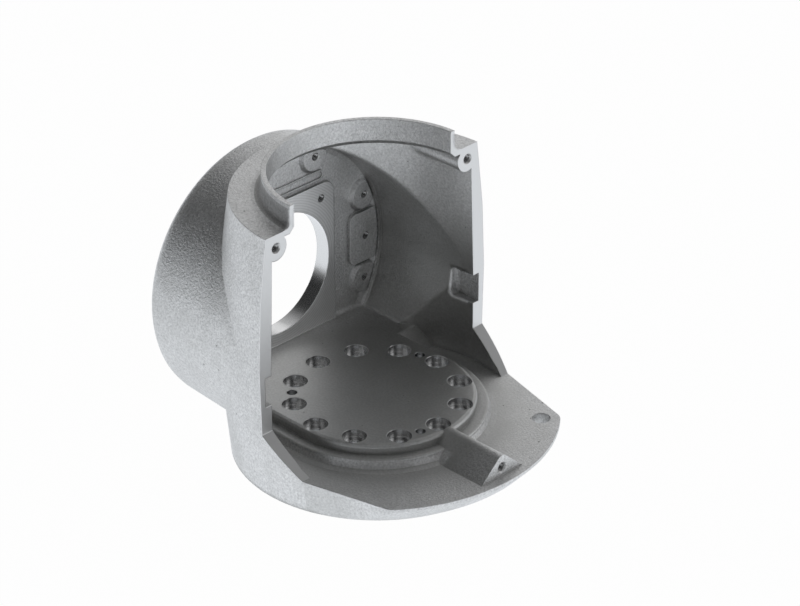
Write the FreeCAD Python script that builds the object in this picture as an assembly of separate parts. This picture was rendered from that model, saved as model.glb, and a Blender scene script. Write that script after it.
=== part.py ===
import FreeCAD, Part
import math
import os

# Swivel housing of a small jointed arm: one aluminium casting, in millimetres.
# The origin is the centre of the screw circle on the machined turntable face.
# +Z points up the column and +X points out of the open side, towards the cover.

V = FreeCAD.Vector

FAR = 200.0                  # reach of a cutting shape, well past the casting
OVERLAP = 1.0                # shapes that cut or join run this far past a face

# Driving sizes
WALL = 6.0                   # general wall of the casting
FOOT_Z = -33.0               # underside of the skirt, where the casting stands
RIM_Z = -12.5                # top of the front flange
LEDGE_Z = 133.5              # top of the column, round the collar
BELLY_Z = 45.0               # height at which the column is widest
FOOT_R = 86.5                # column radius at the foot
BELLY_R = 91.5               # column radius at its widest
LEDGE_R = 84.5               # column radius at the ledge
COLUMN_BANDS = 4             # slightly tapered bands that make up its barrel shape
ROOM_TOP_R = 79.5            # inner radius under the ledge
ROOM_R = 82.3                # inner radius up to half height
FLOOR_BLEND = 3.0            # hollow blend between the drum walls and the floor
COVER_X = -2.0               # machined face that takes the cover
SLOPE_Z = 9.0                # height at which the cover face turns into the slope
SLOPE_LONG = 27.0            # length of the slope from there to the flange top

FLANGE_REACH = 16.0          # how far the front flange stands out past the widest column
FLANGE_SIDE_DEG = 76.0       # direction in which the flange sides leave the column
FLANGE_CORNER_R = 9.0        # rounded corners of the flange
RIM_HEIGHT = 2.0             # upright band below the flange top
BOWL_IN = 9.0                # the bowl under the flange turns this far in from the rim
BOWL_DOWN = 12.0             # and this far below the flange top

DRUM_Z = 47.25               # height of the drum and main bore axis
DRUM_R = 84.0                # drum radius behind its rounded rim
DRUM_DRAFT = 0.052           # growth of the drum radius per millimetre forwards
DRUM_BACK_X = -106.0         # rear face of the drum
DRUM_RIM_ROUND = 8.0         # rounding of the rear rim
DRUM_RIM_FACETS = 4          # short cones that make up that rounding
DRUM_BACK_LAND = 4.0         # flat rim between that rounding and the recess in the rear face
DRUM_BACK_DEPTH = 15.0       # depth of the recess
DRUM_ROOM_R = 81.5           # inner radius of the drum
DRUM_ROOM_ROUND = 4.5        # hollow blend between drum and end plate
PLATE_X = -82.5              # cast inner face of the end plate
BORE_R = 39.05               # main bore
SEAT_X = -80.65              # machined seat round the bore, proud of the plate
SEAT_HALF = 43.9             # half width of the seat, which runs down to the floor
SEAT_TOP_Z = 95.6
SEAT_CORNER_R = 8.0
FRAME_HALF = 36.0            # plain raised frame on the plate, above the seat
FRAME_LOW_Z = 98.0
FRAME_HIGH_Z = 104.5
FRAME_LINE = 1.0             # width and height of its raised line

COLLAR_R = 62.5              # bore of the collar
COLLAR_WALL = 3.0            # thickness of the collar at its lip
COLLAR_Z = 147.5             # lip of the collar
COLLAR_BLEND = 6.0           # hollow blend from the collar down to the ledge
LEDGE_WALL = 3.3             # thickness of the ledge
COLLAR_BEVEL = 3.5           # bevel at the lower end of the collar bore

DISC_R = 58.6                # raised turntable disc, its top is z = 0
RING_R = 65.5                # step below the disc
RING_Z = -6.0                # top of that step
FLOOR_SINK = 1.0             # the steps reach this far into the lower floor
BACK_X = -40.0               # behind this line the disc runs out to the walls
RAMP_LONG = 11.0             # length of the ramp from there down to the lower floor
DISC_ROUND = 2.2             # rounded rim of the disc
RING_ROUND = 1.2             # rounded rim of the step
RING_FOOT = 4.5              # blend at the foot of the step
SCREW_PCD = 100.0            # twelve screws and three dowels share this circle
SCREW_COUNT = 12
SCREW_R = 3.3                # clearance hole
HEAD_R = 7.3                 # counterbore
HEAD_DEPTH = 5.0
DOWEL_COUNT = 3
DOWEL_R = 3.1
DOWEL_DEG = 105.0            # first dowel, the others follow at equal steps

TAP_R = 2.5                  # core hole of the tapped holes
TAP_DEPTH = 14.0
TAP_MOUTH = 0.9              # countersink at the mouths of the cover's three tapped holes
COVER_Y = 76.5               # upper cover screws
COVER_Z = 125.0
COVER_BOSS_R = 8.0
COVER_BOSS_LONG = 44.0
NOSE_X = 100.7               # face of the boss on the front rib
NOSE_Z = -7.1                # its tapped hole
NOSE_HALF = 16.5             # half width of the rib at its foot
NOSE_LIFT = 2.5              # height of the sharp ridge before it is rounded
NOSE_TIP_R = 4.5             # rounding along the top of the rib
EAR_X = 74.0                 # plain hole in the flange
EAR_Y = 61.5
EAR_R = 5.5

LUG_PCD = 148.0              # tapped bosses round the end plate
LUG_COUNT = 6
LUG_STEP_DEG = 45.0          # the two places nearest the floor stay empty
LUG_R = 9.0
LUG_DRAFT = 2.0              # the boss is this much wider at its foot
LUG_X = -80.0                # face of those bosses and of the pads
LUG_REACH_R = 79.0           # bosses and pads end at this radius, short of the drum wall
PAD_Y = 69.6                 # tapped pads beside the bore
PAD_HALF = 17.0
PAD_INNER_Y = 56.5
PAD_CORNER_R = 5.0
SEAT_TAP_R = 51.0            # radius and direction of the taps in the seat
SEAT_TAP_DEG = 49.0
TAP_BACK = 2.5               # metal between the plate's tapped holes and the rear recess

POCKET_LOW_Z = 26.0          # pocket inside each wall, beside the cover face
POCKET_HIGH_Z = 45.0
POCKET_LONG = 17.0
POCKET_MOUTH_Y = 70.0
POCKET_FLOOR_Y = 87.0

FLOOR_WALL = 6.5             # floor over the hollow underside
HUB_R = 64.0                 # thick hub under the screws
HUB_Z = -22.0
HUB_HOLLOW_R = 38.0
HUB_HOLLOW_Z = -9.0


def column_radius(z):
    """Radius of the barrel-shaped column at height z."""
    span = LEDGE_Z - BELLY_Z if z > BELLY_Z else BELLY_Z - FOOT_Z
    loss = BELLY_R - (LEDGE_R if z > BELLY_Z else FOOT_R)
    return BELLY_R - loss * ((z - BELLY_Z) / span) ** 2


def arc_points(x, z, radius, first, last, facets):
    """Points on an arc in the XZ plane, for a section whose round is drawn as a few chords."""
    turns = [math.radians(first + (last - first) * k / facets) for k in range(facets + 1)]
    return [V(x + radius * math.cos(t), 0, z + radius * math.sin(t)) for t in turns]


def revolved(points, centre, axis):
    face = Part.Face(Part.makePolygon(points + points[:1]))
    return face.revolve(centre, axis, 360)


def about_column(points):
    """Solid of revolution about the upright axis from its closed half section."""
    return revolved(points, V(0, 0, 0), V(0, 0, 1))


def about_bore(points):
    """The same about the axis of the drum and bore."""
    return revolved(points, V(0, 0, DRUM_Z), V(1, 0, 0))


def column(inset, low, high, bands):
    """Barrel that follows the column, inset from its skin."""
    heights = [low + (high - low) * k / bands for k in range(bands + 1)]
    skin = [V(column_radius(z) - inset, 0, z) for z in heights]
    return about_column(skin + [V(0, 0, high), V(0, 0, low)])


def cylinder(radius, start, direction, length):
    return Part.makeCylinder(radius, length, start, direction)


def slab(x0, x1, y0, y1, z0, z1):
    return Part.makeBox(x1 - x0, y1 - y0, z1 - z0, V(x0, y0, z0))


def level_edges(shape, z):
    return [e for e in shape.Edges
            if abs(e.BoundBox.ZMin - z) < 0.01 and abs(e.BoundBox.ZMax - z) < 0.01]


def drum_radius(x):
    return DRUM_R + DRUM_DRAFT * (x - DRUM_BACK_X)


def drum_outer():
    """Tapered drum round the bore axis, from its rounded rear rim to the cover face."""
    round_x = DRUM_BACK_X + DRUM_RIM_ROUND
    round_z = DRUM_Z + drum_radius(round_x) - DRUM_RIM_ROUND
    rim = arc_points(round_x, round_z, DRUM_RIM_ROUND, 180, 90, DRUM_RIM_FACETS)
    front = [V(COVER_X, 0, DRUM_Z + drum_radius(COVER_X)), V(COVER_X, 0, DRUM_Z)]
    body = about_bore([V(DRUM_BACK_X, 0, DRUM_Z)] + rim + front)
    return body.common(slab(-FAR, FAR, -FAR, FAR, FOOT_Z, LEDGE_Z))


def drum_room():
    """Inside of the drum, with the hollow blend round the end plate."""
    round_x = PLATE_X + DRUM_ROOM_ROUND
    round_z = DRUM_Z + DRUM_ROOM_R - DRUM_ROOM_ROUND
    blend = arc_points(round_x, round_z, DRUM_ROOM_ROUND, 180, 90, 2)
    front = [V(COVER_X, 0, DRUM_Z + DRUM_ROOM_R), V(COVER_X, 0, DRUM_Z)]
    return about_bore([V(PLATE_X, 0, DRUM_Z)] + blend + front)


def flange_outline(z, inset, radius):
    """Plan of the flange: front arc and two sides that leave the column as tangents."""
    reach = column_radius(z) - inset
    side = math.radians(FLANGE_SIDE_DEG)
    corner = side - math.acos(reach / radius)
    tangent = V(reach * math.cos(side), reach * math.sin(side), z)
    end = V(radius * math.cos(corner), radius * math.sin(corner), z)
    mirror = [V(p.x, -p.y, z) for p in (end, tangent)]
    front = Part.Arc(mirror[0], V(radius, 0, z), end).toShape()
    back = Part.makePolygon([end, tangent, V(0, tangent.y, z), V(0, -tangent.y, z), mirror[1], mirror[0]])
    return Part.Wire([front] + back.Edges)


def flange_block(inset, low, high):
    radius = BELLY_R + FLANGE_REACH
    sections = [flange_outline(low, inset, radius), flange_outline(high, inset, radius)]
    block = Part.makeLoft(sections, True, True)
    corners = [e for e in block.Edges
               if e.BoundBox.ZLength > 1 and math.hypot(e.Vertexes[0].X, e.Vertexes[0].Y) > radius - 0.01]
    return block.makeFillet(FLANGE_CORNER_R, corners)


def bowl():
    """Underside of the flange: a shallow bowl from the rim down to the foot."""
    radius = BELLY_R + FLANGE_REACH
    under = [V(radius, 0, RIM_Z - RIM_HEIGHT), V(radius - BOWL_IN, 0, RIM_Z - BOWL_DOWN), V(FOOT_R, 0, FOOT_Z)]
    return about_column(under + [V(0, 0, FOOT_Z), V(0, 0, LEDGE_Z), V(radius, 0, LEDGE_Z)])


def collar():
    """Ring on the ledge, with the hollow blend round its foot."""
    lip = COLLAR_R + COLLAR_WALL
    blend = lip + COLLAR_BLEND
    hollow = arc_points(blend, LEDGE_Z + COLLAR_BLEND, COLLAR_BLEND, 180, 270, 3)
    low = LEDGE_Z - LEDGE_WALL
    inner = [V(blend, 0, low), V(COLLAR_R, 0, low), V(COLLAR_R, 0, COLLAR_Z), V(lip, 0, COLLAR_Z)]
    return about_column(hollow + inner)


def on_drum_room(edge):
    """True for an edge along the foot of the drum walls or of the end plate."""
    half = math.sqrt(DRUM_ROOM_R ** 2 - DRUM_Z ** 2)
    middle = edge.valueAt((edge.FirstParameter + edge.LastParameter) / 2)
    along_wall = abs(abs(middle.y) - half) < 0.01
    return along_wall or middle.x < PLATE_X + DRUM_ROOM_ROUND


def cavity():
    """Everything the walls enclose, above the lower floor."""
    ceiling = LEDGE_Z - LEDGE_WALL
    skin = [V(ROOM_R, 0, RIM_Z), V(ROOM_R, 0, BELLY_Z), V(ROOM_TOP_R, 0, ceiling)]
    room = about_column(skin + [V(0, 0, ceiling), V(0, 0, RIM_Z)])
    room = room.fuse(drum_room())
    room = room.fuse(flange_block(WALL, RIM_Z, SLOPE_Z + 2 * OVERLAP))
    return room.common(slab(PLATE_X, FAR, -FAR, FAR, RIM_Z, ceiling))


def opening():
    """What the cover closes: in front of the upright face, its slope and the flange top."""
    slope_x = COVER_X + SLOPE_LONG
    corners = [(COVER_X, FAR), (COVER_X, SLOPE_Z), (slope_x, RIM_Z), (FAR, RIM_Z), (FAR, FAR)]
    points = [V(x, -FAR, z) for x, z in corners]
    face = Part.Face(Part.makePolygon(points + points[:1]))
    return face.extrude(V(0, 2 * FAR, 0))


def step(radius, top, top_round, foot_round):
    """Round step on the floor, carried straight back on both sides towards the drum.

    The half section runs from the lower floor up its side to the top.
    """
    low = RIM_Z - FLOOR_SINK
    hollow = arc_points(radius + foot_round, RIM_Z + foot_round, foot_round, 270, 180, 2)
    rim = arc_points(radius - top_round, top - top_round, top_round, 0, 90, 2)
    section = hollow + rim + [V(0, 0, top), V(0, 0, low), V(radius + foot_round, 0, low)]
    solid = about_column(section)
    half = Part.Face(Part.makePolygon(section + section[:1]))
    for turn in (90, -90):
        side = half.copy()
        side.rotate(V(0, 0, 0), V(0, 0, 1), turn)
        solid = solid.fuse(side.extrude(V(BACK_X - RAMP_LONG, 0, 0)))
    return solid


def floor_back():
    """Rear of the floor, level with the disc, with a ramp down to the lower floor."""
    foot_x = BACK_X + RAMP_LONG
    low = RIM_Z - FLOOR_SINK
    corners = [(-FAR, 0), (BACK_X, 0), (foot_x, RIM_Z), (foot_x, low), (-FAR, low)]
    points = [V(x, -FAR, z) for x, z in corners]
    behind = Part.Face(Part.makePolygon(points + points[:1])).extrude(V(0, 2 * FAR, 0))
    ridge = [e for e in level_edges(behind, 0) if e.BoundBox.XMin > BACK_X - 0.01]
    return behind.makeFillet(DISC_ROUND, ridge)


def nose_rib():
    """Gabled rib that carries the front cover screw out over the flange."""
    low = RIM_Z - FLOOR_SINK
    foot = NOSE_HALF * low / RIM_Z
    points = [V(0, -foot, low), V(0, 0, NOSE_LIFT), V(0, foot, low)]
    gable = Part.Face(Part.makePolygon(points + points[:1])).extrude(V(NOSE_X, 0, 0))
    ridge = [e for e in gable.Edges if e.BoundBox.XLength > 1 and e.BoundBox.ZMin > RIM_Z]
    gable = gable.makeFillet(NOSE_TIP_R, ridge)
    return gable.cut(cylinder(DISC_R - DISC_ROUND, V(0, 0, -FAR), V(0, 0, 1), 2 * FAR))


def tapped(x, y, z, depth):
    """Core hole of a tapped hole, drilled along -X."""
    return cylinder(TAP_R, V(x, y, z), V(-1, 0, 0), depth)


def countersink(x, y, z):
    return Part.makeCone(TAP_R + TAP_MOUTH, TAP_R, TAP_MOUTH, V(x, y, z), V(-1, 0, 0))


def frame():
    """Bare rounded frame on the end plate, a raised line with nothing inside it."""
    rings = []
    for inset in (0, FRAME_LINE):
        y = FRAME_HALF - inset
        ring = slab(PLATE_X - 1, PLATE_X + FRAME_LINE, -y, y, FRAME_LOW_Z + inset, FRAME_HIGH_Z - inset)
        round_off = [e for e in ring.Edges if e.BoundBox.XLength > 1]
        rings.append(ring.makeFillet((FRAME_HIGH_Z - FRAME_LOW_Z) / 2 - inset - 0.2, round_off))
    return rings[0].cut(rings[1])


def both_sides(shape):
    return [shape, shape.mirror(V(0, 0, 0), V(0, 1, 0))]


outer = column(0, FOOT_Z, LEDGE_Z, COLUMN_BANDS).fuse(drum_outer())
outer = outer.fuse(flange_block(0, FOOT_Z, SLOPE_Z + 2 * OVERLAP).common(bowl()))
room = cavity()
inside = outer.cut(slab(-FAR, PLATE_X, -FAR, FAR, -FAR, FAR))

# Walls, floor steps, collar and rib, then the machined openings
body = outer.cut(room).fuse(collar()).cut(opening())
disc = step(DISC_R, 0, DISC_ROUND, RING_FOOT)
ring = step(RING_R, RING_Z, RING_ROUND, RING_FOOT)
floor = disc.fuse([ring, floor_back()]).common(inside)
body = body.fuse([floor, nose_rib()]).removeSplitter()

# Hollow blend between the drum walls, the end plate and the floor
body = body.makeFillet(FLOOR_BLEND, [e for e in level_edges(body, 0) if on_drum_room(e)])

adds = []
cuts = []

# Upper cover screws in bosses that sink into the walls behind the cover face
for sign in (-1, 1):
    start = V(COVER_X - COVER_BOSS_LONG, sign * COVER_Y, COVER_Z)
    boss = cylinder(COVER_BOSS_R, start, V(1, 0, 0), COVER_BOSS_LONG)
    adds.append(boss.common(outer))
    cuts.append(tapped(COVER_X, sign * COVER_Y, COVER_Z, TAP_DEPTH))
    cuts.append(countersink(COVER_X, sign * COVER_Y, COVER_Z))

# Bosses round the bore, and the pads beside it
tap_end = DRUM_BACK_X + DRUM_BACK_DEPTH + TAP_BACK
plate = cylinder(LUG_REACH_R, V(PLATE_X - OVERLAP, 0, DRUM_Z), V(1, 0, 0), FAR)
for k in range(LUG_COUNT):
    turn = math.radians(LUG_STEP_DEG * (k - 0.5))
    y = LUG_PCD / 2 * math.cos(turn)
    z = DRUM_Z + LUG_PCD / 2 * math.sin(turn)
    lug = Part.makeCone(LUG_R + LUG_DRAFT, LUG_R, LUG_X - PLATE_X, V(PLATE_X, y, z), V(1, 0, 0))
    adds.append(lug.common(plate))
    cuts.append(tapped(LUG_X, y, z, LUG_X - tap_end))
pad = slab(PLATE_X - 1, LUG_X, PAD_INNER_Y, DRUM_ROOM_R, DRUM_Z - PAD_HALF, DRUM_Z + PAD_HALF)
inner_corners = [e for e in pad.Edges if e.BoundBox.XLength > 1 and e.BoundBox.YMax < PAD_INNER_Y + 1]
pad = pad.makeFillet(PAD_CORNER_R, inner_corners)
for side in both_sides(pad):
    adds.append(side.common(plate))
for sign in (-1, 1):
    cuts.append(tapped(LUG_X, sign * PAD_Y, DRUM_Z, LUG_X - tap_end))

# Machined seat with two tapped holes, and the bare frame above it
seat = slab(PLATE_X - 1, SEAT_X, -SEAT_HALF, SEAT_HALF, RIM_Z, SEAT_TOP_Z)
adds.append(seat.makeFillet(SEAT_CORNER_R, [e for e in seat.Edges if e.BoundBox.XLength > 1 and e.BoundBox.ZMin > 0]))
for sign in (-1, 1):
    turn = math.radians(SEAT_TAP_DEG)
    y = sign * SEAT_TAP_R * math.cos(turn)
    z = DRUM_Z + SEAT_TAP_R * math.sin(turn)
    cuts.append(tapped(SEAT_X, y, z, SEAT_X - tap_end))
adds.append(frame())

body = body.fuse(adds)

# Main bore
cuts.append(cylinder(BORE_R, V(-FAR, 0, DRUM_Z), V(1, 0, 0), FAR + BACK_X))

# Recess in the rear face of the drum
wide = DRUM_R - DRUM_RIM_ROUND - DRUM_BACK_LAND
cuts.append(cylinder(wide, V(DRUM_BACK_X, 0, DRUM_Z), V(1, 0, 0), DRUM_BACK_DEPTH))

# Screws, dowels and the nose and ear holes
for k in range(SCREW_COUNT):
    turn = 2 * math.pi * k / SCREW_COUNT
    x = SCREW_PCD / 2 * math.cos(turn)
    y = SCREW_PCD / 2 * math.sin(turn)
    cuts.append(cylinder(HEAD_R, V(x, y, -HEAD_DEPTH), V(0, 0, 1), 2 * HEAD_DEPTH))
    cuts.append(cylinder(SCREW_R, V(x, y, FOOT_Z), V(0, 0, 1), -FOOT_Z))
for k in range(DOWEL_COUNT):
    turn = math.radians(DOWEL_DEG + 360 * k / DOWEL_COUNT)
    x = SCREW_PCD / 2 * math.cos(turn)
    y = SCREW_PCD / 2 * math.sin(turn)
    cuts.append(cylinder(DOWEL_R, V(x, y, FOOT_Z), V(0, 0, 1), 1 - FOOT_Z))
cuts.append(tapped(NOSE_X, 0, NOSE_Z, TAP_DEPTH))
cuts.append(countersink(NOSE_X, 0, NOSE_Z))
cuts.append(cylinder(EAR_R, V(EAR_X, EAR_Y, FOOT_Z - 1), V(0, 0, 1), RIM_Z - FOOT_Z + 2))

# Collar bore with its sloped lower edge
cuts.append(cylinder(COLLAR_R, V(0, 0, LEDGE_Z - LEDGE_WALL - 1), V(0, 0, 1), FAR))
bevel = V(0, 0, LEDGE_Z - LEDGE_WALL)
cuts.append(Part.makeCone(COLLAR_R + COLLAR_BEVEL, COLLAR_R, COLLAR_BEVEL, bevel, V(0, 0, 1)))

# Pockets inside both walls beside the cover face
pocket = slab(COVER_X - POCKET_LONG, COVER_X + OVERLAP, POCKET_MOUTH_Y, POCKET_FLOOR_Y, POCKET_LOW_Z, POCKET_HIGH_Z)
pocket = pocket.makeFillet(2, [e for e in pocket.Edges if e.BoundBox.XMax < COVER_X])
cuts += both_sides(pocket)

# Hollow under the floor, round the thick hub
under = cylinder(FOOT_R - WALL, V(0, 0, FOOT_Z), V(0, 0, 1), RIM_Z - FLOOR_WALL - FOOT_Z)
under = under.common(slab(PLATE_X + WALL, FAR, -FAR, FAR, FOOT_Z, RIM_Z))
hub = cylinder(HUB_R, V(0, 0, HUB_Z), V(0, 0, 1), -HUB_Z)
well = cylinder(HUB_HOLLOW_R, V(0, 0, HUB_Z - 1), V(0, 0, 1), HUB_HOLLOW_Z - HUB_Z + 1)
cuts.append(under.cut(hub))
cuts.append(well)

for cut in cuts:
    body = body.cut(cut)
body = body.removeSplitter()

os.makedirs("parts", exist_ok=True)
body.exportStep("parts/housing.step")
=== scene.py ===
import math

import bpy
from mathutils import Matrix, Vector


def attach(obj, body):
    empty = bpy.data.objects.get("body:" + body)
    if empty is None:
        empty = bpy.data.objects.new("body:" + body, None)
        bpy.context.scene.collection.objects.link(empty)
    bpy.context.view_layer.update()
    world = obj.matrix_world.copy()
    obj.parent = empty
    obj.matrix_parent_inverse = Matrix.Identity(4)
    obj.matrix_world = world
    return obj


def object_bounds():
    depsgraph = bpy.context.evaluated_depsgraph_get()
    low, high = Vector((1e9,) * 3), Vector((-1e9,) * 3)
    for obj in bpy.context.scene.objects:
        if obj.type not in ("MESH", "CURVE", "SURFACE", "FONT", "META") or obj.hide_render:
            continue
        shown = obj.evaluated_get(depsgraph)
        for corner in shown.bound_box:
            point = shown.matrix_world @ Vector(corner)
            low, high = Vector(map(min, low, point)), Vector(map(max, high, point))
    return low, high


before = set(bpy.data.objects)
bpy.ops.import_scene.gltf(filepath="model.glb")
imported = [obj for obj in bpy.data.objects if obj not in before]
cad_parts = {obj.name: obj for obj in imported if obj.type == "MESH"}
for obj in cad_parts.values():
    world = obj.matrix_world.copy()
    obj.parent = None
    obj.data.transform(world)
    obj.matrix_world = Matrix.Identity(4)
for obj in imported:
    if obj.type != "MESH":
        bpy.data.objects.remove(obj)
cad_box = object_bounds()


# Camera
# It stands in front of the open side, to the left and above, with a long lens, so
# that upright edges stay upright and hardly run together. Its place, its tilt and its
# lens are those at which the part's holes and outline lie as in the photograph.
camera = bpy.data.objects.new("camera", bpy.data.cameras.new("camera"))
camera.data.lens = 158.9
camera.data.sensor_width = 36.0
camera.data.clip_end = 50.0
back = Vector((0.614657, -0.614657, 0.494361))
right = Vector((0.707514, 0.706699, -0.001013))
up = back.cross(right)
stance = Matrix((right, up, back)).transposed().to_4x4()
stance.translation = (1.26256, -1.24381, 1.06807)
camera.matrix_world = stance
bpy.context.scene.collection.objects.link(camera)
bpy.context.scene.camera = camera
bpy.context.scene.view_settings.view_transform = "Standard"


# Table
# A wide sheet of white card under the casting. The camera and polished metal see it
# as bright white, and the casting still shades it.
def linear(hex_colour):
    """Linear colour of an sRGB hex value."""
    parts = [int(hex_colour[i:i + 2], 16) / 255 for i in (1, 3, 5)]
    return [c / 12.92 if c <= 0.04045 else ((c + 0.055) / 1.055) ** 2.4 for c in parts] + [1.0]


def add_node(tree, kind, links, **settings):
    """Add a node with its settings; links gives its inputs, each a value or another node's output.

    An input is named or numbered, and a numbered one reaches inputs that share a name.
    """
    node = tree.nodes.new(kind)
    for name, value in settings.items():
        setattr(node, name, value)
    for name, value in links.items():
        if isinstance(value, bpy.types.NodeSocket):
            tree.links.new(value, node.inputs[name])
        else:
            node.inputs[name].default_value = value
    return node


white_card = bpy.data.materials.new("white_card")
white_card.use_nodes = True
tree = white_card.node_tree
tree.nodes.clear()
paper = add_node(tree, "ShaderNodeBsdfDiffuse", {"Color": linear("#eeeeec")})
# The glow is pure white to the camera and a little bluer, as daylight, in the metal
rays = add_node(tree, "ShaderNodeLightPath", {})
daylight = add_node(tree, "ShaderNodeMix", {"Factor": rays.outputs["Is Camera Ray"], 6: linear("#f6fafe"),
                                            7: linear("#ffffff")}, data_type="RGBA")
glow = add_node(tree, "ShaderNodeEmission", {"Color": daylight.outputs[2], "Strength": 1.0})
seen = add_node(tree, "ShaderNodeMath", {0: rays.outputs["Is Camera Ray"], 1: rays.outputs["Is Glossy Ray"]},
                operation="MAXIMUM")
seen = add_node(tree, "ShaderNodeMath", {0: seen.outputs[0], 1: rays.outputs["Is Transmission Ray"]},
                operation="MAXIMUM")
# A trace of the shaded paper stays in it, which is the casting's faint shadow
glow_share = 0.985
share = add_node(tree, "ShaderNodeMath", {0: seen.outputs[0], 1: glow_share}, operation="MULTIPLY")
mixed = add_node(tree, "ShaderNodeMixShader", {0: share.outputs[0], 1: paper.outputs[0], 2: glow.outputs[0]})
add_node(tree, "ShaderNodeOutputMaterial", {"Surface": mixed.outputs[0]})

foot = cad_box[0][2]
half_side = 6.0
table_mesh = bpy.data.meshes.new("table")
corners = [(along * half_side, across * half_side, foot) for along, across in ((-1, -1), (1, -1), (1, 1), (-1, 1))]
table_mesh.from_pydata(corners, [], [(0, 1, 2, 3)])
table_mesh.materials.append(white_card)
table = bpy.data.objects.new("table", table_mesh)
bpy.context.scene.collection.objects.link(table)


# Room and lamp
# The room is a dim grey, darkest behind the camera. White cards stand behind the
# casting and on its right, one hangs above the camera, the walls are lighter near the
# table, and one wide lamp hangs behind.
room = bpy.data.worlds.new("room")
bpy.context.scene.world = room
room.use_nodes = True
tree = room.node_tree
tree.nodes.clear()
where = add_node(tree, "ShaderNodeTexCoord", {}).outputs["Generated"]
rays = add_node(tree, "ShaderNodeLightPath", {})
light = 0.0
# Each light is given by the way towards it, the cosines to that way at which it starts
# and is full, and its brightness before and after them
behind = (-0.45, 0.74, 0.50)
for towards, start, full, before, after in ((behind, -0.50, 0.30, 0.020, 0.038),
                                            (behind, 0.50, 0.95, 0.0, 0.50),
                                            ((0.76, 0.62, 0.18), 0.77, 1.00, 0.0, 0.90),
                                            ((0.40, -0.40, 0.82), 0.88, 1.00, 0.0, 0.50),
                                            ((0.0, 0.0, -1.0), -0.26, 0.0, 0.0, 0.30)):
    along = add_node(tree, "ShaderNodeVectorMath", {0: where, 1: towards}, operation="DOT_PRODUCT")
    card = add_node(tree, "ShaderNodeMapRange", {"Value": along.outputs["Value"], "From Min": start,
                                                 "From Max": full, "To Min": before, "To Max": after},
                    interpolation_type="SMOOTHSTEP")
    light = add_node(tree, "ShaderNodeMath", {0: light, 1: card.outputs[0]}, operation="ADD").outputs[0]
grey = add_node(tree, "ShaderNodeBackground", {"Color": linear("#f8f9fa"), "Strength": light})
clear = add_node(tree, "ShaderNodeBackground", {"Color": (1, 1, 1, 1), "Strength": 1.0})
mixed = add_node(tree, "ShaderNodeMixShader", {0: rays.outputs["Is Camera Ray"], 1: grey.outputs[0],
                                               2: clear.outputs[0]})
add_node(tree, "ShaderNodeOutputWorld", {"Surface": mixed.outputs[0]})

back_lamp = bpy.data.objects.new("back_lamp", bpy.data.lights.new("back_lamp", "AREA"))
back_lamp.data.shape = "RECTANGLE"
back_lamp.data.size = 1.0
back_lamp.data.size_y = 0.8
back_lamp.data.energy = 1.0
back_lamp.location = (-1.0, 1.2, 1.0)
back_lamp.rotation_euler = (Vector((0, 0, 0.05)) - back_lamp.location).to_track_quat("-Z", "Y").to_euler()
bpy.context.scene.collection.objects.link(back_lamp)


# Housing
# One aluminium casting from a metal mould, blasted with fine shot, so that its skin is
# matt, finely grained and pitted with a few pores. Its bore, the seat round it, the
# cover faces and the holes are machined afterwards and shine more.
def mm(value):
    """Metres from millimetres."""
    return value / 1000


# Sizes of the casting that its machining follows, in mm, from the screw circle's centre
bore_z = 47.25               # height of the bore's axis
seat_x = -80.65              # front of the machined seat
cover_x = -2.0               # front of the cover face
slope_z = 9.0                # height at which the cover face turns into the slope
slope_long = 27.0            # length and drop of the slope from there to the flange
slope_drop = 21.5
screw_circle_r = 50
screws = 12

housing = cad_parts["housing"]
cast_aluminium = bpy.data.materials.new("shot_blasted_cast_aluminium")
cast_aluminium.use_nodes = True
tree = cast_aluminium.node_tree
tree.nodes.clear()
surface = add_node(tree, "ShaderNodeTexCoord", {})
place = surface.outputs["Object"]
x, y, z = add_node(tree, "ShaderNodeSeparateXYZ", {"Vector": place}).outputs

# Distance from the bore's axis, from the column's axis and from the nearest screw
from_bore = add_node(tree, "ShaderNodeVectorMath", {0: place, 1: (0, 1, 1), 2: (0, 0, mm(-bore_z))},
                     operation="MULTIPLY_ADD").outputs[0]
bore_r = add_node(tree, "ShaderNodeVectorMath", {0: from_bore}, operation="LENGTH").outputs["Value"]
from_column = add_node(tree, "ShaderNodeVectorMath", {0: place, 1: (1, 1, 0)}, operation="MULTIPLY").outputs[0]
column_r = add_node(tree, "ShaderNodeVectorMath", {0: from_column}, operation="LENGTH").outputs["Value"]
turn = add_node(tree, "ShaderNodeMath", {0: y, 1: x}, operation="ARCTAN2").outputs[0]
turn = add_node(tree, "ShaderNodeMath", {0: turn, 1: 2 * math.pi}, operation="ADD").outputs[0]
turn = add_node(tree, "ShaderNodeMath", {0: turn, 1: math.pi / screws}, operation="PINGPONG").outputs[0]
spoke = add_node(tree, "ShaderNodeCombineXYZ", {0: column_r}).outputs[0]
spoke = add_node(tree, "ShaderNodeVectorRotate", {"Vector": spoke, "Angle": turn}, rotation_type="Z_AXIS").outputs[0]
screw_r = add_node(tree, "ShaderNodeVectorMath", {0: spoke, 1: (mm(screw_circle_r), 0, 0)},
                   operation="DISTANCE").outputs["Value"]

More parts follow.
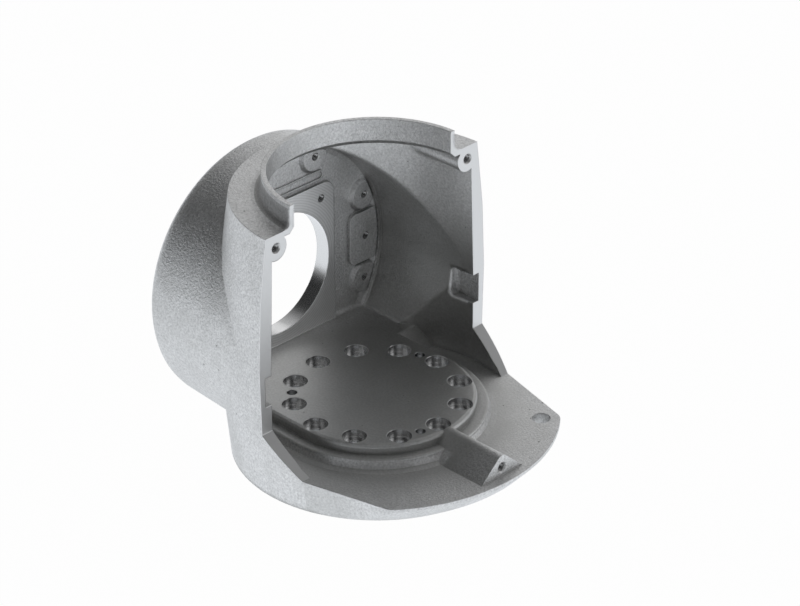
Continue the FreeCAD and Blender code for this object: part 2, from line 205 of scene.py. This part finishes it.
# Flat machined faces, each as the way it faces and how far along that it lies, within
# 0.25 mm and 11 degrees: the seat, the cover face and the slope below it
slope_way = Vector((slope_drop, 0, slope_long)).normalized()
slope_reach = slope_way.dot(Vector((cover_x, 0, slope_z)))
flats = []
for facing, reach in (((1, 0, 0), seat_x), ((1, 0, 0), cover_x), (slope_way, slope_reach)):
    along = add_node(tree, "ShaderNodeVectorMath", {0: place, 1: facing}, operation="DOT_PRODUCT")
    level = add_node(tree, "ShaderNodeMath", {0: along.outputs["Value"], 1: mm(reach), 2: mm(0.25)},
                     operation="COMPARE").outputs[0]
    faces_it = add_node(tree, "ShaderNodeVectorMath", {0: surface.outputs["Normal"], 1: facing},
                        operation="DOT_PRODUCT").outputs["Value"]
    faces_it = add_node(tree, "ShaderNodeMath", {0: faces_it, 1: 0.98}, operation="GREATER_THAN").outputs[0]
    flats.append(add_node(tree, "ShaderNodeMath", {0: level, 1: faces_it}, operation="MULTIPLY").outputs[0])
seat = flats[0]

# Turned and drilled places, each as a radius, how near to it they lie and what they
# lie below: the bore, the screw holes and the pin holes between them
turned = 0.0
for distance, radius, reach, value, below in ((bore_r, 0, 39.4, x, seat_x - 0.25), (screw_r, 0, 7.45, z, -0.15),
                                              (column_r, screw_circle_r, 3.3, z, -0.15)):
    near = add_node(tree, "ShaderNodeMath", {0: distance, 1: mm(radius), 2: mm(reach)},
                    operation="COMPARE").outputs[0]
    deep = add_node(tree, "ShaderNodeMath", {0: value, 1: mm(below)}, operation="LESS_THAN").outputs[0]
    drilled = add_node(tree, "ShaderNodeMath", {0: near, 1: deep}, operation="MULTIPLY").outputs[0]
    turned = add_node(tree, "ShaderNodeMath", {0: turned, 1: drilled}, operation="MAXIMUM").outputs[0]
machined = turned
for flat in flats:
    machined = add_node(tree, "ShaderNodeMath", {0: machined, 1: flat}, operation="MAXIMUM").outputs[0]

# The room between the walls: inside the column's bore or the drum's, ahead of the end
# plate and under the ledge
in_column = add_node(tree, "ShaderNodeMath", {0: column_r, 1: mm(83.5)}, operation="LESS_THAN").outputs[0]
in_drum = add_node(tree, "ShaderNodeMath", {0: bore_r, 1: mm(82.2)}, operation="LESS_THAN").outputs[0]
inside = add_node(tree, "ShaderNodeMath", {0: in_column, 1: in_drum}, operation="MAXIMUM").outputs[0]
ahead = add_node(tree, "ShaderNodeMath", {0: x, 1: mm(-79.5)}, operation="GREATER_THAN").outputs[0]
under = add_node(tree, "ShaderNodeMath", {0: z, 1: mm(131)}, operation="LESS_THAN").outputs[0]
inside = add_node(tree, "ShaderNodeMath", {0: inside, 1: ahead}, operation="MULTIPLY").outputs[0]
inside = add_node(tree, "ShaderNodeMath", {0: inside, 1: under}, operation="MULTIPLY").outputs[0]

# Edges: blasting leaves them rounded by about 0.7 mm. The hollow round the collar, the
# rear rim of the drum and the meeting of the walls inside are smooth curves.
round_collar = add_node(tree, "ShaderNodeMath", {0: column_r, 1: mm(66.5), 2: mm(3)}, operation="COMPARE").outputs[0]
by_height = add_node(tree, "ShaderNodeMath", {0: z, 1: mm(139.5), 2: mm(5.6)}, operation="COMPARE").outputs[0]
blend = add_node(tree, "ShaderNodeMath", {0: round_collar, 1: by_height}, operation="MULTIPLY").outputs[0]
rim = add_node(tree, "ShaderNodeMath", {0: x, 1: mm(-92)}, operation="LESS_THAN").outputs[0]
soft = add_node(tree, "ShaderNodeMath", {0: blend, 1: rim}, operation="MAXIMUM").outputs[0]
inner_walls = inside
for value, middle, reach in ((x, -41, 35), (z, 67, 64), (column_r, 80, 20)):
    band = add_node(tree, "ShaderNodeMath", {0: value, 1: mm(middle), 2: mm(reach)}, operation="COMPARE").outputs[0]
    inner_walls = add_node(tree, "ShaderNodeMath", {0: inner_walls, 1: band}, operation="MULTIPLY").outputs[0]
soft = add_node(tree, "ShaderNodeMath", {0: soft, 1: inner_walls}, operation="MAXIMUM").outputs[0]
radius = add_node(tree, "ShaderNodeMapRange", {"Value": soft, "To Min": mm(0.7), "To Max": mm(4.0)}).outputs[0]
rounded = add_node(tree, "ShaderNodeBevel", {"Radius": radius}, samples=8).outputs[0]
facet = add_node(tree, "ShaderNodeNewGeometry", {}).outputs["Normal"]
# Open edges, found from the rounded normal and kept away from hollows, get a painted highlight further down
bend = add_node(tree, "ShaderNodeVectorMath", {0: rounded, 1: facet}, operation="DOT_PRODUCT").outputs["Value"]
edge = add_node(tree, "ShaderNodeMapRange", {"Value": bend, "From Min": 0.97, "From Max": 0.85}).outputs[0]
shelter = add_node(tree, "ShaderNodeAmbientOcclusion", {"Distance": mm(3)}, samples=4).outputs["AO"]
open_side = add_node(tree, "ShaderNodeMapRange", {"Value": shelter, "From Min": 0.7, "From Max": 0.95}).outputs[0]
edge_highlight = add_node(tree, "ShaderNodeMath", {0: edge, 1: open_side}, operation="MULTIPLY").outputs[0]
edge_highlight = add_node(tree, "ShaderNodeMath", {0: edge_highlight, 1: 0.8}, operation="MULTIPLY").outputs[0]

# Skin: the shot leaves bright and dull dimples of about 0.3 mm, drawn at 1.4 mm so
# that they show. The mould leaves soft waves of 9 mm and stains of 38 mm.
grain = add_node(tree, "ShaderNodeTexNoise", {"Vector": place, "Scale": 1 / mm(1.4), "Detail": 3.0,
                                              "Roughness": 0.7}).outputs["Fac"]
waves = add_node(tree, "ShaderNodeTexNoise", {"Vector": place, "Scale": 1 / mm(9), "Detail": 4.0,
                                              "Roughness": 0.5}).outputs["Fac"]
stains = add_node(tree, "ShaderNodeTexNoise", {"Vector": place, "Scale": 1 / mm(38), "Detail": 6.0,
                                               "Roughness": 0.7}).outputs["Fac"]
speckle = add_node(tree, "ShaderNodeMapRange", {"Value": grain, "From Min": 0.32, "From Max": 0.68}).outputs[0]
dull = add_node(tree, "ShaderNodeMapRange", {"Value": stains, "From Min": 0.4, "From Max": 0.8,
                                             "To Max": 0.6}).outputs[0]
skin = add_node(tree, "ShaderNodeMix", {"Factor": speckle, 6: linear("#d2d2d2"), 7: linear("#fcfcfc")},
                data_type="RGBA").outputs[2]
skin = add_node(tree, "ShaderNodeMix", {"Factor": dull, 6: skin, 7: linear("#c2c2c0")}, data_type="RGBA").outputs[2]

# Inside, between the walls, the skin is smoother and is painted darker, a painted shade,
# most of all low on the walls. On the floor and in front that fades out
# from the disc to the edge of the flange.
upright = add_node(tree, "ShaderNodeSeparateXYZ", {"Vector": surface.outputs["Normal"]}).outputs["Z"]
floor = add_node(tree, "ShaderNodeMath", {0: upright, 1: 0.9}, operation="GREATER_THAN").outputs[0]
front = add_node(tree, "ShaderNodeMath", {0: x, 1: mm(26)}, operation="GREATER_THAN").outputs[0]
floor = add_node(tree, "ShaderNodeMath", {0: floor, 1: front}, operation="MAXIMUM").outputs[0]
near_middle = add_node(tree, "ShaderNodeMapRange", {"Value": column_r, "From Min": mm(100),
                                                    "From Max": mm(75)}).outputs[0]
near_middle = add_node(tree, "ShaderNodeMath", {0: near_middle, 1: under}, operation="MULTIPLY").outputs[0]
sheltered = add_node(tree, "ShaderNodeMix", {"Factor": floor, 2: inside, 3: near_middle}).outputs[0]
low = add_node(tree, "ShaderNodeMapRange", {"Value": z, "From Min": mm(92), "From Max": mm(50),
                                            "To Max": 0.85}).outputs[0]
at_floor = add_node(tree, "ShaderNodeMapRange", {"Value": z, "From Min": mm(35), "From Max": mm(5),
                                                 "To Max": 0.22}).outputs[0]
low = add_node(tree, "ShaderNodeMath", {0: low, 1: at_floor}, operation="SUBTRACT").outputs[0]
inside_shade = add_node(tree, "ShaderNodeMath", {0: sheltered, 1: low}, operation="MULTIPLY").outputs[0]

# The steep side of the step round the disc faces the open front and the light, so it is kept out of the painted shade
# here and out of the painted dark of the hollows below
step_side = add_node(tree, "ShaderNodeMath", {0: column_r, 1: mm(67.5)}, operation="SUBTRACT").outputs[0]
step_side = add_node(tree, "ShaderNodeMath", {0: step_side}, operation="ABSOLUTE").outputs[0]
step_side = add_node(tree, "ShaderNodeMapRange", {"Value": step_side, "From Min": mm(5),
                                                  "From Max": mm(2)}).outputs[0]
for value, start, full in ((z, mm(-6), mm(-7.2)), (upright, 0.93, 0.75)):
    fade = add_node(tree, "ShaderNodeMapRange", {"Value": value, "From Min": start, "From Max": full}).outputs[0]
    step_side = add_node(tree, "ShaderNodeMath", {0: step_side, 1: fade}, operation="MULTIPLY").outputs[0]
inside_shade = add_node(tree, "ShaderNodeMath", {0: inside_shade, 1: step_side}, operation="SUBTRACT", use_clamp=True).outputs[0]
# The painted shade between the walls darkens the skin here
skin = add_node(tree, "ShaderNodeMix", {"Factor": inside_shade, 6: skin, 7: linear("#b0b0ae")}, data_type="RGBA").outputs[2]

# Narrow hollows and the blend at the foot of the collar are painted dark grey, a painted shade
hollow_shade = add_node(tree, "ShaderNodeMapRange", {"Value": shelter, "From Min": 0.85, "From Max": 0.45,
                                               "To Max": 0.6}).outputs[0]
foot_of_collar = add_node(tree, "ShaderNodeMath", {0: blend, 1: 0.4}, operation="MULTIPLY").outputs[0]
hollow_shade = add_node(tree, "ShaderNodeMath", {0: hollow_shade, 1: foot_of_collar}, operation="MAXIMUM").outputs[0]
hollow_shade = add_node(tree, "ShaderNodeMath", {0: hollow_shade, 1: step_side}, operation="SUBTRACT", use_clamp=True).outputs[0]
skin = add_node(tree, "ShaderNodeMix", {"Factor": hollow_shade, 6: skin, 7: linear("#787876")}, data_type="RGBA").outputs[2]

# Pores: dull pits up to 1 mm across, a few on each face
pores = add_node(tree, "ShaderNodeTexVoronoi", {"Vector": place, "Scale": 1 / mm(7)})
pit = add_node(tree, "ShaderNodeMapRange", {"Value": pores.outputs["Distance"], "From Min": 0.03, "From Max": 0.09,
                                            "To Min": 1.0, "To Max": 0.0}).outputs[0]
lot = add_node(tree, "ShaderNodeSeparateColor", {"Color": pores.outputs["Color"]}).outputs[0]
rare = add_node(tree, "ShaderNodeMapRange", {"Value": lot, "From Min": 0.75, "From Max": 1.0}).outputs[0]
pit = add_node(tree, "ShaderNodeMath", {0: pit, 1: rare}, operation="MULTIPLY").outputs[0]
skin = add_node(tree, "ShaderNodeMix", {"Factor": pit, 6: skin, 7: linear("#70706e")}, data_type="RGBA").outputs[2]

# The open convex edges are painted lighter, a painted highlight
skin = add_node(tree, "ShaderNodeMix", {"Factor": edge_highlight, 6: skin, 7: linear("#f4f4f4")}, data_type="RGBA").outputs[2]

# Tool marks: rings round the bore's axis, where the seat was faced, drawn 1.6 mm apart
# so that they show. At scale 1 the rings of a wave texture lie 2 pi / 20 apart.
rings = add_node(tree, "ShaderNodeTexWave", {"Vector": from_bore, "Scale": 2 * math.pi / (20 * mm(1.6)),
                                             "Distortion": 1.2, "Detail": 2.0, "Detail Scale": 2.0},
                 wave_type="RINGS", rings_direction="X").outputs["Fac"]
marks = add_node(tree, "ShaderNodeMath", {0: rings, 1: seat}, operation="MULTIPLY").outputs[0]
bright = add_node(tree, "ShaderNodeMix", {"Factor": marks, 6: linear("#e4e4e4"), 7: linear("#f8f8f8")},
                  data_type="RGBA").outputs[2]

# The machined metal is bare and bright, smooth in the bore and in the holes
colour = add_node(tree, "ShaderNodeMix", {"Factor": machined, 6: skin, 7: bright}, data_type="RGBA").outputs[2]
matt = add_node(tree, "ShaderNodeMapRange", {"Value": machined, "To Min": 0.46, "To Max": 0.42}).outputs[0]
shine = add_node(tree, "ShaderNodeMath", {0: turned, 1: 0.18}, operation="MULTIPLY").outputs[0]
matt = add_node(tree, "ShaderNodeMath", {0: matt, 1: shine}, operation="SUBTRACT").outputs[0]
burnish = add_node(tree, "ShaderNodeMath", {0: edge_highlight, 1: 0.18}, operation="MULTIPLY").outputs[0]
matt = add_node(tree, "ShaderNodeMath", {0: matt, 1: burnish}, operation="SUBTRACT").outputs[0]
smooth = add_node(tree, "ShaderNodeMath", {0: sheltered, 1: 0.75}, operation="MULTIPLY").outputs[0]
smooth = add_node(tree, "ShaderNodeMath", {0: smooth, 1: machined}, operation="MAXIMUM").outputs[0]
cast = add_node(tree, "ShaderNodeMath", {0: 1.0, 1: smooth}, operation="SUBTRACT").outputs[0]

# Relief of the skin, each layer with its depth in mm and its strength
relief = rounded
for height, depth, strength, sunk in ((waves, 0.20, 0.5, False), (grain, 0.5, cast, False), (marks, 0.02, 0.4, False),
                                      (pit, 0.4, 0.8, True)):
    relief = add_node(tree, "ShaderNodeBump", {"Height": height, "Distance": mm(depth), "Strength": strength,
                                               "Normal": relief}, invert=sunk).outputs[0]
shader = add_node(tree, "ShaderNodeBsdfPrincipled", {"Metallic": 1.0, "Base Color": colour, "Roughness": matt,
                                                     "Normal": relief})
add_node(tree, "ShaderNodeOutputMaterial", {"Surface": shader.outputs[0]})

for slot in housing.material_slots:
    slot.material = cast_aluminium


# Threads
# The thirteen tapped holes are M6, cut by a tap with 1 mm pitch. Each thread is one
# helical ridge, 0.35 mm proud of the hole's wall, and starts half a pitch inside it.
pitch = 1.0
root_r = 2.52                # just behind the wall of the hole, whose radius is 2.5
crest_r = 2.15
root_half = 0.42             # half the ridge's width at its root
crest_half = 0.06
turn_steps = 24
boss_x = -80.0               # front of the bosses and pads on the end plate
boss_circle_r = 74
pad_y = 69.6
corner_circle_r = 51         # radius and direction of the holes in the seat's corners
corner_deg = 49

cut_thread = bpy.data.materials.new("tapped_aluminium_thread")
cut_thread.use_nodes = True
tree = cut_thread.node_tree
tree.nodes.clear()
place = add_node(tree, "ShaderNodeTexCoord", {}).outputs["Object"]
smear = add_node(tree, "ShaderNodeTexNoise", {"Vector": place, "Scale": 1 / mm(0.8), "Detail": 2.0})
# The tap leaves bare metal with fine smears; its colour is painted darker, a painted
# shade, so that the ridges glint but the hole stays dark
bright = add_node(tree, "ShaderNodeMix", {"Factor": smear.outputs["Fac"], 6: linear("#8e8e8e"), 7: linear("#cccccc")},
                  data_type="RGBA")
gloss = add_node(tree, "ShaderNodeMapRange", {"Value": smear.outputs["Fac"], "To Min": 0.18, "To Max": 0.30})
shader = add_node(tree, "ShaderNodeBsdfPrincipled", {"Metallic": 1.0, "Base Color": bright.outputs[2],
                                                     "Roughness": gloss.outputs[0]})
add_node(tree, "ShaderNodeOutputMaterial", {"Surface": shader.outputs[0]})

# Each hole as the place of its mouth and its depth: three for the cover, two in the
# pads beside the bore, then six in bosses on a circle and two in the seat's corners
mouths = [(-2.9, 76.5, 125, 13.1), (-2.9, -76.5, 125, 13.1), (99.8, 0, -7.1, 13.1),
          (boss_x, pad_y, bore_z, 8.5), (boss_x, -pad_y, bore_z, 8.5)]
for k in range(6):
    turn_to = math.radians(45 * (k - 0.5))
    mouths.append((boss_x, boss_circle_r * math.cos(turn_to), bore_z + boss_circle_r * math.sin(turn_to), 8.5))
for side in (-1, 1):
    turn_to = math.radians(corner_deg)
    mouths.append((seat_x, side * corner_circle_r * math.cos(turn_to),
                   bore_z + corner_circle_r * math.sin(turn_to), 7.85))

points = []
faces = []
for mouth_x, mouth_y, mouth_z, depth in mouths:
    count = int((depth - pitch) * turn_steps / pitch)
    for i in range(count + 1):
        angle = 2 * math.pi * i / turn_steps
        along = mouth_x - pitch / 2 - pitch * i / turn_steps
        for radius, shift in ((root_r, root_half), (crest_r, crest_half), (crest_r, -crest_half),
                              (root_r, -root_half)):
            points.append((mm(along + shift), mm(mouth_y + radius * math.cos(angle)),
                           mm(mouth_z + radius * math.sin(angle))))
        if i:
            here = len(points) - 4
            for j in range(3):
                faces.append((here + j - 4, here + j - 3, here + j + 1, here + j))
thread_mesh = bpy.data.meshes.new("threads")
thread_mesh.from_pydata(points, [], faces)
thread_mesh.materials.append(cut_thread)
threads = bpy.data.objects.new("threads", thread_mesh)
bpy.context.scene.collection.objects.link(threads)
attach(threads, "root")
